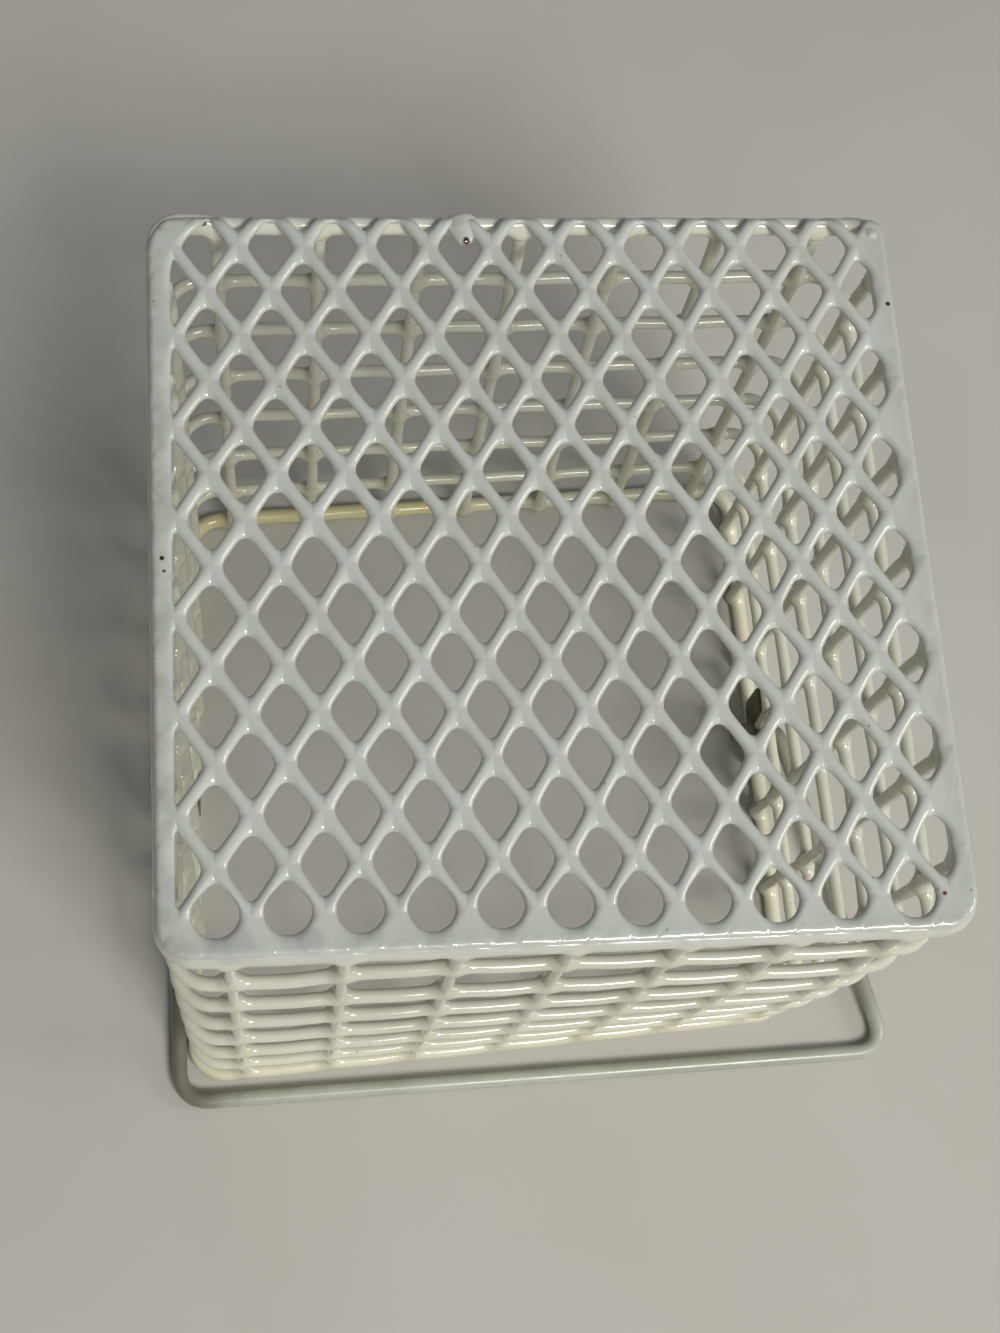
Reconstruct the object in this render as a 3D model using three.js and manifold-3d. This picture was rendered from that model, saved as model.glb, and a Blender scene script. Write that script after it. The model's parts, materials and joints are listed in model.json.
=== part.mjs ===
// A coated wire basket that stands on its open mouth, with its expanded-metal base on top
// and its bail handle lying in front of it. Millimetres, +Z up, the front is at -Y.
import * as THREE from 'three';
import { mergeGeometries, mergeVertices } from 'three/addons/utils/BufferGeometryUtils.js';
import Module from 'manifold-3d';

const wasm = await Module();
wasm.setup();

// Overall size of the cage, measured between the inner faces of the rings
const INSIDE_WIDTH = 144.2;
const INSIDE_DEPTH = 146.2;
const BORDER_HEIGHT = 142.4;
const LOWEST_HOOP_HEIGHT = 20.4;
const HOOP_COUNT = 6;
const CORNER_RADIUS = 4;
const HOOP_CORNER_RADIUS = 6.5;

// The hoops and the rim stand this much further forward than the border
const FRONT_STEP = 0.6;

// The open mouth is out of square: its front and back run off by an angle, and its front is bent in
const MOUTH_RACK_DEGREES = 2.8;
const FRONT_BEND = 3.8;
const FRONT_BEND_DEGREES = 0.7;

// Coated wire radii
const RIM_RADIUS = 1.9;
const BORDER_RADIUS = 1.75;
const HOOP_RADIUS = 1.45;
const WALL_WIRE_RADIUS = 1.4;
const BAIL_RADIUS = 1.85;

// Upright wires in the four walls
const WALL_WIRE_PITCH = 20.87;
const WALL_WIRE_FOOT = 0.6;

// Expanded-metal base panel
const PANEL_THICKNESS = 2.2;
const PANEL_INSET = 0.7;
const PANEL_EDGE_BAND = 3.3;
const DIAMOND_PITCH_X = 12.8;
const DIAMOND_PITCH_Y = 19.6;
const STRAND_WIDTH = 2.7;
const DIAMOND_ROUNDING = 0.7;
const MESH_OFFSET_X = -0.7;
const MESH_OFFSET_Y = -1.5;

// Pivot plates and the bail that turns in them
const PIVOT_PLATE_THICKNESS = 1.9;
const PIVOT_PLATE_WIDTH = 20;
const PIVOT_PLATE_ROUNDING = 3;
const PIVOT_HOLE_CLEARANCE = 0.35;
const PIVOT_WIRE_CLEARANCE = 1.5;
const BAIL_SIDE_CLEARANCE = 0.4;
const BAIL_OVERHANG = 3.6;
const BAIL_SKEW = 4.6;
const BAIL_LEFT_SPREAD = 0;
const BAIL_RIGHT_SPREAD = 21;
const BAIL_CORNER_SIZE = 8;
const BAIL_END_PLAY = 5;
const BAIL_HEAD_RADIUS = 2.9;
const BAIL_HEAD_THICKNESS = 1.8;

// Space left between pieces that are welded together
const WELD_GAP = 0.25;

// Fineness of the round shapes
const WIRE_SIDES = 8;
const CORNER_STEPS = 2;
const BEND_STEPS = 5;

const FINISHES = {
  panel: { color: 0xc9cecd, roughness: 0.24, metalness: 0 },
  border: { color: 0xd6d6cd, roughness: 0.26, metalness: 0 },
  wall: { color: 0xdbd8c8, roughness: 0.28, metalness: 0 },
  rim: { color: 0xd9d1ac, roughness: 0.3, metalness: 0 },
  plate: { color: 0xb9b094, roughness: 0.4, metalness: 0 },
  bail: { color: 0xcacac2, roughness: 0.3, metalness: 0 },
};

const rimOuterX = INSIDE_WIDTH / 2 + 2 * RIM_RADIUS;
const rimOuterY = INSIDE_DEPTH / 2 + 2 * RIM_RADIUS;
const panelUnderside = BORDER_HEIGHT + BORDER_RADIUS + WELD_GAP;
const hoopPitch = (BORDER_HEIGHT - LOWEST_HOOP_HEIGHT) / HOOP_COUNT;
const hoopHeights = Array.from({ length: HOOP_COUNT }, (_, i) => LOWEST_HOOP_HEIGHT + i * hoopPitch);
const plateBottom = 2 * RIM_RADIUS + WELD_GAP;
const plateTop = LOWEST_HOOP_HEIGHT - HOOP_RADIUS - WELD_GAP;
const pivotHeight = (plateBottom + plateTop) / 2;

function named(name, geometry, finish) {
  const mesh = new THREE.Mesh(geometry, new THREE.MeshStandardMaterial(finish));
  mesh.name = name;
  return mesh;
}

// How far a point of the cage is pushed back: nothing at the base, most at the front of the mouth.
// The racking grows evenly from the base to the mouth, but the front bends in only close to the mouth.
function pushedBack(x, y, height) {
  const share = (BORDER_HEIGHT - height) / (BORDER_HEIGHT - RIM_RADIUS);
  const rack = x * Math.tan(THREE.MathUtils.degToRad(MOUTH_RACK_DEGREES));
  const bend = FRONT_BEND + x * Math.tan(THREE.MathUtils.degToRad(FRONT_BEND_DEGREES));
  const nearFront = 0.5 - y / INSIDE_DEPTH;
  return share * rack + share ** 3 * bend * nearFront;
}

function roundedRectangle(width, depth, radius) {
  const x = width / 2 - radius;
  const y = depth / 2 - radius;
  const outline = new THREE.Shape();
  outline.absarc(x, -y, radius, -Math.PI / 2, 0);
  outline.absarc(x, y, radius, 0, Math.PI / 2);
  outline.absarc(-x, y, radius, Math.PI / 2, Math.PI);
  outline.absarc(-x, -y, radius, Math.PI, 1.5 * Math.PI);
  outline.closePath();
  return outline;
}

function withoutRepeats(points) {
  return points.filter((point, i) => point.distanceTo(points[(i + 1) % points.length]) > 1e-6);
}

// Round wire along a flat path in the XY plane, mitred at each point of the path
function wireGeometry(path, radius, closed) {
  const positions = [];
  const triangles = [];
  const last = path.length - 1;
  path.forEach((point, i) => {
    const before = i > 0 || closed ? path[(i + last) % path.length] : null;
    const after = i < last || closed ? path[(i + 1) % path.length] : null;
    const arriving = (before ? point.clone().sub(before) : after.clone().sub(point)).normalize();
    const leaving = (after ? after.clone().sub(point) : arriving.clone()).normalize();
    const along = arriving.clone().add(leaving).normalize();
    const mitre = 1 / along.dot(arriving);
    const here = i * WIRE_SIDES;
    const there = ((i + 1) % path.length) * WIRE_SIDES;
    for (let k = 0; k < WIRE_SIDES; k += 1) {
      const angle = ((k + 0.5) / WIRE_SIDES) * 2 * Math.PI;
      const out = radius * Math.cos(angle) * mitre;
      positions.push(point.x + along.y * out, point.y - along.x * out, radius * Math.sin(angle));
      const turn = (k + 1) % WIRE_SIDES;
      if (after) {
        triangles.push(here + k, there + turn, here + turn, here + k, there + k, there + turn);
      }
    }
  });
  if (!closed) {
    const end = last * WIRE_SIDES;
    for (let k = 1; k < WIRE_SIDES - 1; k += 1) {
      triangles.push(0, k, k + 1, end, end + k + 1, end + k);
    }
  }
  const geometry = new THREE.BufferGeometry();
  geometry.setAttribute('position', new THREE.Float32BufferAttribute(positions, 3));
  geometry.setIndex(triangles);
  geometry.computeVertexNormals();
  return geometry;
}

// A closed ring with rounded corners, as far out of square as the cage is at its height
function makeRing(name, wireRadius, height, frontStep, corner, finish) {
  const width = INSIDE_WIDTH + 2 * wireRadius;
  const depth = INSIDE_DEPTH + frontStep + 2 * wireRadius;
  const outline = roundedRectangle(width, depth, corner + wireRadius);
  const path = withoutRepeats(outline.getPoints(CORNER_STEPS));
  path.forEach((point) => {
    point.y -= frontStep / 2;
    point.y += pushedBack(point.x, point.y, height);
  });
  const ring = named(name, wireGeometry(path, wireRadius, true), finish);
  ring.position.z = height;
  return ring;
}

// Solids for cutting and joining

function solidOf(geometry) {
  const bare = geometry.clone();
  bare.deleteAttribute('normal');
  bare.deleteAttribute('uv');
  const merged = mergeVertices(bare, 1e-4);
  const vertProperties = new Float32Array(merged.attributes.position.array);
  const triVerts = new Uint32Array(merged.index.array);
  return new wasm.Manifold(new wasm.Mesh({ numProp: 3, vertProperties, triVerts }));
}

function geometryOf(solid) {
  const mesh = solid.getMesh();
  const geometry = new THREE.BufferGeometry();
  geometry.setAttribute('position', new THREE.Float32BufferAttribute(mesh.vertProperties, 3));
  geometry.setIndex(new THREE.Uint32BufferAttribute(mesh.triVerts, 1));
  geometry.computeVertexNormals();
  return geometry;
}

// One diamond opening between the strands, with its four corners cut round
function diamondOpening(x, y) {
  const cellX = DIAMOND_PITCH_X / 2;
  const cellY = DIAMOND_PITCH_Y / 2;
  const shrink = 1 - ((STRAND_WIDTH / 2) * Math.hypot(cellX, cellY)) / (cellX * cellY);
  const halfX = cellX * shrink;
  const halfY = cellY * shrink;
  const edge = Math.hypot(halfX, halfY);
  const corners = [
    { at: new THREE.Vector2(x + halfX, y), cut: (DIAMOND_ROUNDING * halfX) / halfY },
    { at: new THREE.Vector2(x, y + halfY), cut: (DIAMOND_ROUNDING * halfY) / halfX },
    { at: new THREE.Vector2(x - halfX, y), cut: (DIAMOND_ROUNDING * halfX) / halfY },
    { at: new THREE.Vector2(x, y - halfY), cut: (DIAMOND_ROUNDING * halfY) / halfX },
  ];
  const points = corners.flatMap(({ at, cut }, i) => {
    const before = corners[(i + 3) % 4].at;
    const after = corners[(i + 1) % 4].at;
    return [at.clone().lerp(before, cut / edge), at.clone().lerp(after, cut / edge)];
  });
  return new THREE.Shape(points);
}

// A flat sheet of diamond mesh, cut to the outline of the border wire that carries it.
// The coating closes the cut diamonds along the edge into a smooth band.
function makeBasePanel() {
  const reach = 2 * BORDER_RADIUS - PANEL_INSET;
  const width = INSIDE_WIDTH + 2 * reach;
  const depth = INSIDE_DEPTH + 2 * reach;
  const sheet = new THREE.ExtrudeGeometry(roundedRectangle(width, depth, CORNER_RADIUS + reach), {
    depth: PANEL_THICKNESS,
    bevelEnabled: false,
    curveSegments: CORNER_STEPS,
  });
  const cutter = { depth: 3 * PANEL_THICKNESS, bevelEnabled: false, curveSegments: CORNER_STEPS };
  const bandInside = roundedRectangle(
    width - 2 * PANEL_EDGE_BAND,
    depth - 2 * PANEL_EDGE_BAND,
    CORNER_RADIUS + reach - PANEL_EDGE_BAND,
  );
  const inside = new THREE.ExtrudeGeometry(bandInside, cutter).translate(0, 0, -PANEL_THICKNESS);
  const columns = Math.ceil(width / DIAMOND_PITCH_X);
  const rows = Math.ceil(depth / DIAMOND_PITCH_Y) + 1;
  const openings = [];
  for (let row = -rows; row <= rows; row += 1) {
    const stagger = row % 2 === 0 ? 0.5 : 0;
    const y = MESH_OFFSET_Y + (row * DIAMOND_PITCH_Y) / 2;
    for (let column = -columns; column <= columns; column += 1) {
      const x = MESH_OFFSET_X + (column + stagger) * DIAMOND_PITCH_X;
      const acrossSheet = Math.abs(x) < (width + DIAMOND_PITCH_X) / 2;
      const alongSheet = Math.abs(y) < (depth + DIAMOND_PITCH_Y) / 2;
      if (acrossSheet && alongSheet) {
        const opening = new THREE.ExtrudeGeometry(diamondOpening(x, y), cutter);
        openings.push(opening.translate(0, 0, -PANEL_THICKNESS));
      }
    }
  }
  const cuts = solidOf(mergeGeometries(openings)).intersect(solidOf(inside));
  const mesh = solidOf(sheet).subtract(cuts);
  const panel = named('base_panel', geometryOf(mesh), FINISHES.panel);
  panel.position.z = panelUnderside;
  return panel;
}

// A wire from a foot to just under the border, bent with the cage at each hoop
function makeWallWire(name, x, y, footHeight) {
  const headHeight = BORDER_HEIGHT - BORDER_RADIUS - WELD_GAP;
  const crossings = hoopHeights.filter((height) => height > footHeight);
  const path = [footHeight, ...crossings, headHeight].map(
    (height) => new THREE.Vector2(height, y + pushedBack(x, y, height)),
  );
  const wire = named(name, wireGeometry(path, WALL_WIRE_RADIUS, false).rotateY(-Math.PI / 2), FINISHES.wall);
  wire.position.x = x;
  return wire;
}

// The wires of all four walls stand inside the rings; the middle wire of a side stops above its pivot
function makeWallWires() {
  const wires = new THREE.Group();
  const sideX = INSIDE_WIDTH / 2 - WELD_GAP - WALL_WIRE_RADIUS;
  const sideY = INSIDE_DEPTH / 2 - WELD_GAP - WALL_WIRE_RADIUS;
  const pivotFoot = pivotHeight + BAIL_HEAD_RADIUS + PIVOT_WIRE_CLEARANCE;
  const acrossFront = Math.floor((INSIDE_WIDTH / 2 - HOOP_CORNER_RADIUS) / WALL_WIRE_PITCH);
  const alongSide = Math.floor((INSIDE_DEPTH / 2 - HOOP_CORNER_RADIUS) / WALL_WIRE_PITCH);
  for (let k = -acrossFront; k <= acrossFront; k += 1) {
    const number = k + acrossFront + 1;
    const frontY = -sideY - FRONT_STEP;
    wires.add(makeWallWire(`front_wire_${number}`, k * WALL_WIRE_PITCH, frontY, WALL_WIRE_FOOT));
    wires.add(makeWallWire(`back_wire_${number}`, k * WALL_WIRE_PITCH, sideY, WALL_WIRE_FOOT));
  }
  for (let k = -alongSide; k <= alongSide; k += 1) {
    const number = k + alongSide + 1;
    const foot = k === 0 ? pivotFoot : WALL_WIRE_FOOT;
    wires.add(makeWallWire(`left_wire_${number}`, -sideX, k * WALL_WIRE_PITCH, foot));
    wires.add(makeWallWire(`right_wire_${number}`, sideX, k * WALL_WIRE_PITCH, foot));
  }
  return wires;
}

// A plate with the bail's hole, set in a side between the mouth rim and the lowest hoop
function makePivotPlate(name, side) {
  const outline = roundedRectangle(PIVOT_PLATE_WIDTH, plateTop - plateBottom, PIVOT_PLATE_ROUNDING);
  const hole = new THREE.Path();
  hole.absarc(0, 0, BAIL_RADIUS + PIVOT_HOLE_CLEARANCE, 0, 2 * Math.PI);
  outline.holes.push(hole);
  const sheet = new THREE.ExtrudeGeometry(outline, {
    depth: PIVOT_PLATE_THICKNESS,
    bevelEnabled: false,
    curveSegments: WIRE_SIDES,
  });
  sheet.rotateX(Math.PI / 2);
  const plate = named(name, sheet, FINISHES.plate);
  const x = (side * INSIDE_WIDTH) / 2;
  plate.rotation.z = side * (Math.PI / 2);
  plate.position.set(x, pushedBack(x, 0, pivotHeight), pivotHeight);
  return plate;
}

// The bail in its own plane: its ends lie on the pivot axis along X, its crossbar is towards -Y.
// A bend starts and ends at its size from the corner, and the shoulders bend just outside the plates.
function bailPath(leftReach, rightReach, lean) {
  const armX = rimOuterX + BAIL_SIDE_CLEARANCE + BAIL_RADIUS;
  const headX = INSIDE_WIDTH / 2 - BAIL_END_PLAY;
  const shoulderSize = armX - INSIDE_WIDTH / 2 - PIVOT_PLATE_THICKNESS - WELD_GAP;
  const start = new THREE.Vector2(-headX, 0);
  const finish = new THREE.Vector2(headX, 0);
  const bends = [
    { at: new THREE.Vector2(-armX, 0), size: shoulderSize },
    { at: new THREE.Vector2(-armX - BAIL_LEFT_SPREAD - lean, -leftReach), size: BAIL_CORNER_SIZE },
    { at: new THREE.Vector2(armX + BAIL_RIGHT_SPREAD - lean, -rightReach), size: BAIL_CORNER_SIZE },
    { at: new THREE.Vector2(armX, 0), size: shoulderSize },
  ];
  const bent = bends.flatMap(({ at, size }, i) => {
    const before = i > 0 ? bends[i - 1].at : start;
    const after = i + 1 < bends.length ? bends[i + 1].at : finish;
    const enter = before.clone().sub(at).setLength(size).add(at);
    const leave = after.clone().sub(at).setLength(size).add(at);
    return new THREE.QuadraticBezierCurve(enter, at, leave).getPoints(BEND_STEPS);
  });
  return [start, ...bent, finish];
}

// The bail hangs on the line through the two pivot holes and rests with its crossbar on the floor
function makeBail() {
  const pivotY = pushedBack(0, 0, pivotHeight);
  const axisAngle = Math.atan(pushedBack(1, 0, pivotHeight) - pivotY);
  const reach = rimOuterY + BAIL_OVERHANG;
  const rightReach = reach + BAIL_SKEW;
  const path = bailPath(reach, rightReach, reach * Math.tan(axisAngle));
  let solid = solidOf(wireGeometry(path, BAIL_RADIUS, false));
  [path[0], path[path.length - 1]].forEach((end) => {
    const radius = BAIL_HEAD_RADIUS;
    const head = new THREE.CylinderGeometry(radius, radius, BAIL_HEAD_THICKNESS, WIRE_SIDES);
    head.rotateZ(Math.PI / 2);
    head.translate(end.x, 0, 0);
    solid = solid.add(solidOf(head));
  });
  const bail = named('bail_handle', geometryOf(solid), FINISHES.bail);
  bail.rotation.x = Math.asin((pivotHeight - BAIL_RADIUS) / rightReach);
  const hanging = new THREE.Group();
  hanging.add(bail);
  hanging.rotation.z = axisAngle;
  hanging.position.set(0, pivotY, pivotHeight);
  return hanging;
}

const basket = new THREE.Group();
basket.add(makeBasePanel());
basket.add(makeRing('base_border_wire', BORDER_RADIUS, BORDER_HEIGHT, 0, CORNER_RADIUS, FINISHES.border));
hoopHeights.forEach((height, i) => {
  const name = `hoop_${HOOP_COUNT - i}`;
  basket.add(makeRing(name, HOOP_RADIUS, height, FRONT_STEP, HOOP_CORNER_RADIUS, FINISHES.wall));
});
basket.add(makeRing('mouth_rim', RIM_RADIUS, RIM_RADIUS, FRONT_STEP, HOOP_CORNER_RADIUS, FINISHES.rim));
basket.add(makeWallWires());
basket.add(makePivotPlate('left_pivot_plate', -1));
basket.add(makePivotPlate('right_pivot_plate', 1));
basket.add(makeBail());

// The origin is on the floor, under the middle of the whole part
const box = new THREE.Box3().setFromObject(basket, true);
const middle = box.getCenter(new THREE.Vector3());
basket.position.set(-middle.x, -middle.y, -box.min.z);

const part = new THREE.Group();
part.add(basket);

export default part;
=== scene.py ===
"""A dip-coated wire basket that stands on its open mouth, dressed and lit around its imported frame."""

import json
import math

import bpy
import numpy as np
from mathutils import Matrix, Vector


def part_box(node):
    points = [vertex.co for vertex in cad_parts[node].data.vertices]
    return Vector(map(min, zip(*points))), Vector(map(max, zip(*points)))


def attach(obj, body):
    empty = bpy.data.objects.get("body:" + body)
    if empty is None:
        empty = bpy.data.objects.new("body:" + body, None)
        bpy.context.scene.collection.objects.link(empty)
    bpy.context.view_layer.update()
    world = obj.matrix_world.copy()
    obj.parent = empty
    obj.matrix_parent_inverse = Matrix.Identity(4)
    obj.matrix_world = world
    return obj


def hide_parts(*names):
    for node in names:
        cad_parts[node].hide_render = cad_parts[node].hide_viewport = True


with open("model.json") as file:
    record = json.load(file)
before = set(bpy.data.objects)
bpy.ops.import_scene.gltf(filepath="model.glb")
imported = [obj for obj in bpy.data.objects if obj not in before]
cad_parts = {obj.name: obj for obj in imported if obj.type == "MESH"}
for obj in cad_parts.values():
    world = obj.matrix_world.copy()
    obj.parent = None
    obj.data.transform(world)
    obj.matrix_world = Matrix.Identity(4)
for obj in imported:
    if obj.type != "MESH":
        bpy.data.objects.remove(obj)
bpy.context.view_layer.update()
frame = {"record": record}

# Sizes of the cage in millimetres, measured between the inner faces of the rings
MM = 0.001
INSIDE_WIDTH = 144.2
INSIDE_DEPTH = 146.2
CORNER_RADIUS = 4.0
HOOP_CORNER_RADIUS = 6.5
FRONT_STEP = 0.6
BORDER_SPREAD_LEFT = 1.0
BORDER_SPREAD_RIGHT = 0.5
BORDER_SAG = 0.4
MOUTH_RACK = math.tan(math.radians(2.8))
FRONT_BEND = 3.8
FRONT_BEND_SLOPE = math.tan(math.radians(0.7))
RIM_RADIUS = 1.9
BORDER_RADIUS = 1.75
HOOP_RADIUS = 1.45
WALL_WIRE_RADIUS = 1.4
WALL_WIRE_PITCH = 20.87
WELD_GAP = 0.25
WELD_SINK = 1.8
HEAD_RISE = 0.6
HEAD_BEND = 0.6
HEAD_BEND_START = 8.0
HEAD_BEND_END = 1.0
HOOP_SCALLOP = 0.25
TOP_HOOP_RISE = 2.2
TOP_HOOP_DENT = 0.55
TOP_HOOP_BOW_DEPTH = 4.0
TOP_HOOP_LEFT_RAMP = (-56.0, -32.0)
TOP_HOOP_RIGHT_RAMP = (72.0, 60.0)
TOP_HOOP_FADE = 0.6
TOP_HOOP_FADE_RAMP = (-20.0, 35.0)
OUTER_COAT = 0.9
OUTER_COAT_RAMP = 4.0
HOOP_NAMES = [f"hoop_{number}" for number in range(1, 7)]
WALL_STEPS = range(-3, 4)

# The coating: how it flows together at a crossing, and how uneven it is
FILLET_SIZE = 2.3
FILLET_MOST = 1.3
FILLET_PASSES = 6
FILLET_GAIN = 0.8
# Crevice darkening, painted shade mixed with grime, fades over this distance from a crossing
CREVICE_DEPTH = 1.1
FLOOR_RAMP = (0.3, 2.0)
COAT_WAVES = 0.07
NEAR_CROSSING = 5.0
FINE_STEP = 0.8
COARSE_STEP = 3.6
RING_SIDES = 20
WIRE_SIDES = 16
CORNER_STEPS = 13
WIRE_LINE_REACH = 2.0
RING_LINE_REACH = 4.0
WIRE_END_LENGTH = 1.4

# The border wire: where it is round at the back, and how its coating rises to the panel elsewhere
BORDER_ROUND_START = 4.0
BORDER_ROUND_END = 0.6
BORDER_ROUND_LEFT = (-70.0, -60.0)
BORDER_ROUND_RIGHT = (73.0, 68.0)
BORDER_BELOW_PANEL = 0.75
BORDER_BACK_RISE = 0.35
BORDER_SQUARENESS = 2.7
BORDER_EASING = 0.7
BORDER_FLOW_LOW = 0.8
BORDER_FLOW_HIGH = 0.4
BORDER_UNEVEN = 2.0
BORDER_WAVE_SCALE = 2.3

# The expanded-metal panel
CELL_X = 6.4
CELL_Y = 9.8
MESH_OFFSET_X = -0.7
MESH_OFFSET_Y = -1.5
FRONT_SQUEEZE = 0.25
MESH_UNEVEN = 0.2
MESH_DRIFT_X = -0.6
MESH_DRAW_X = -1.05
MESH_DRIFT_Y = -0.15
MESH_DRAW_Y = -0.5
MESH_BACK_DRAW = 0.9
MESH_BACK_DRAW_RAMP = (35.0, 62.0)
MESH_DRAW_LENGTH = 26.7
MESH_DRAW_SHIFT = 2.0
MESH_BACK_HELD = 0.75
MESH_BACK_RAMP = (10.0, 62.0)
MESH_FRONT_HELD = 0.8
MESH_FRONT_RAMP = (-50.0, -72.0)
STRAND_HALF_WIDTH = 1.3
STRAND_UNEVEN = 0.07
STRAND_POWER = 2.2
STRAND_HALF_HEIGHT = 1.2
# How much painted shade darkens the strands' sides and undersides
STRAND_SHADE = 0.35
THINNEST_STRAND = 0.05
SIDE_ROUNDING = 3.3
TOP_ROUNDING = 1.85
BOTTOM_ROUNDING = 1.35
FRONT_ROW = -7
TEARDROP_RADIUS = 4.3
TEARDROP_SHIFT = 0.7
TEARDROP_SLANT = 0.0093
TEARDROP_TOP_ROUNDING = 1.3
BAND_ROUNDING = 2.6
BAND_WIDTH = 2.2
FRONT_BAND_WIDTH = 1.5
FRONT_INSET = 0.85
SIDE_INSET = 0.45
EDGE_ROUNDING = 1.2
EDGE_WAVES = 0.2
EDGE_WAVE_SCALE = 3.1
EDGE_WAVE_WIDTH = 4.0
SHEET_WAVES = 0.05
SHEET_WAVE_SCALE = 1.3
BACK_OVERLAP = 1.0
BACK_DROP = 2.7
BACK_DROP_START = 1.6
BACK_ROWS_DEPTH = 12.0
BACK_RIGHT_CORNER = 5.0
BACK_LEFT_CORNER = 9.0
WINDOW_CORNER = 4.0
WINDOW_BACK_LEFT_CORNER = 15.0
EDGE_DIRT = 0.55
LEFT_EDGE_DIRT = 1.0
LEFT_EDGE = -60.0
EDGE_DIRT_RAMP = (1.0, 6.0)
SMALLEST_CELL = 0.001
SMALLEST_OPENING = 5.0
EDGE_SAMPLES_PER_MM = 0.85
VERTEX_STEPS_PER_MM = 1e4
LUMP_STEPS = 25
LUMP_BLUNTNESS = 6
LUMP_UNEVEN = 2.0
LUMP_WAVE_SCALE = 3.0

# The bail and its pivots
BAIL_RADIUS = 1.85
BAIL_SIDE_CLEARANCE = 0.4
BAIL_OVERHANG = 3.6
BAIL_SKEW = 4.6
BAIL_RIGHT_SPREAD = 21.0
BAIL_CORNER_SIZE = 8.0
BAIL_END_PLAY = 5.0
BAIL_HEAD_RADIUS = 2.9
BAIL_HEAD_THICKNESS = 1.8
BAIL_STEP = 4.0
BAIL_UNEVEN = 0.6
# Painted shade with grime near the bail's pivots
BAIL_PIVOT_SHADE_AND_DIRT = 0.7
BAIL_PIVOT_SHADE_AND_DIRT_START = 2.0
BAIL_PIVOT_SHADE_AND_DIRT_LENGTH = 6.0
# Painted shade on the bail's heads and arms
BAIL_PIVOT_SHADE_RAMP = (4.0, 1.0)
BAIL_LEFT_SHADE_RAMP = (12.0, -1.0)
BAIL_RIGHT_SHADE = 0.5
BAIL_RIGHT_SHADE_RAMP = (4.0, 16.0)
PIVOT_PLATE_THICKNESS = 1.9
PIVOT_PLATE_CORNER = 3.0
PIVOT_PLATE_COAT = 0.3
PIVOT_PLATE_SOFTNESS = 0.6
PIVOT_PLATE_RAYS = 72
# Painted shade round the plate's hole fades over this depth
PIVOT_HOLE_SHADE_DEPTH = 1.5
PIVOT_HOLE_RADIUS = 2.2

# The cage's own frame: millimetres from the middle of the base panel, on the floor below it
panel_low, panel_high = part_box("base_panel")
CAGE_MIDDLE = np.array([(panel_low[0] + panel_high[0]) / 2, (panel_low[1] + panel_high[1]) / 2, 0.0])


def in_frame(points):
    """Millimetres of the cage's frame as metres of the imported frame."""
    return points * MM + CAGE_MIDDLE


def height_of(node):
    """Height of the middle of a CAD node, in millimetres."""
    low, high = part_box(node)
    return (low[2] + high[2]) / 2 / MM


BORDER_HEIGHT = height_of("base_border_wire")
RIM_HEIGHT = height_of("mouth_rim")
PANEL_TOP = panel_high[2] / MM
PANEL_MIDDLE = PANEL_TOP - STRAND_HALF_HEIGHT
HOOPS = [(name, HOOP_RADIUS) for name in HOOP_NAMES]
RINGS = [("base_border_wire", BORDER_RADIUS), *HOOPS, ("mouth_rim", RIM_RADIUS)]


def pushed_back(x, y, height):
    """How far a point of the cage is pushed back: nothing at the base, most at the front of the mouth."""
    share = (BORDER_HEIGHT - height) / (BORDER_HEIGHT - RIM_HEIGHT)
    bend = FRONT_BEND + x * FRONT_BEND_SLOPE
    return share * x * MOUTH_RACK + share ** 3 * bend * (0.5 - y / INSIDE_DEPTH)


def edge_shift(x, y):
    """How far the border and the panel's edges are spread sideways: not at the front, most at the back."""
    right = 0.5 + x / INSIDE_WIDTH
    spread = BORDER_SPREAD_RIGHT * right - BORDER_SPREAD_LEFT * (1.0 - right)
    return spread * (y / INSIDE_DEPTH + 0.5)


def smooth_step(low, high, value):
    """From 0 at low to 1 at high, with soft ends. Low may be the larger of the two."""
    share = np.clip((value - low) / (high - low), 0.0, 1.0)
    return share * share * (3.0 - 2.0 * share)


def top_hoop_bow(node, x, y):
    """How much of its bend the top hoop has at a point: only its front is bent, most at the left."""
    if node != HOOP_NAMES[0]:
        return 0.0 * x
    front = smooth_step(-INSIDE_DEPTH / 2 + TOP_HOOP_BOW_DEPTH, -INSIDE_DEPTH / 2, y)
    ends = smooth_step(*TOP_HOOP_LEFT_RAMP, x) * smooth_step(*TOP_HOOP_RIGHT_RAMP, x)
    return front * ends * (1.0 - TOP_HOOP_FADE * smooth_step(*TOP_HOOP_FADE_RAMP, x))


def waves(points):
    """Slow waves in the thickness of the coating, between about -1 and 1."""
    x, y, z = points[..., 0], points[..., 1], points[..., 2]
    slow = np.sin(0.21 * x + 0.13 * z + 1.1) * np.sin(0.19 * y - 0.17 * z + 0.4)
    quick = np.sin(0.63 * x - 0.41 * z + 2.0) * np.sin(0.57 * y + 0.47 * z + 0.9)
    return 0.6 * slow + 0.4 * quick


def unit(vectors):
    """The same directions, each with a length of 1."""
    return vectors / np.linalg.norm(vectors, axis=-1, keepdims=True)


def crossed(first, second):
    """The cross product of vectors on plan."""
    return first[..., 0] * second[..., 1] - first[..., 1] * second[..., 0]


# Materials: scales of the noises, and how far each effect goes
BLOTCH_SCALE = 34
STREAK_SCALE = 150
STREAK_SHARE = 0.5
# Noise that breaks up the crevice darkening (painted shade with grime), and the roughness it adds
SHADE_AND_DIRT_SCALE = 260
CREVICE_ROUGHNESS = 0.25
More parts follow.
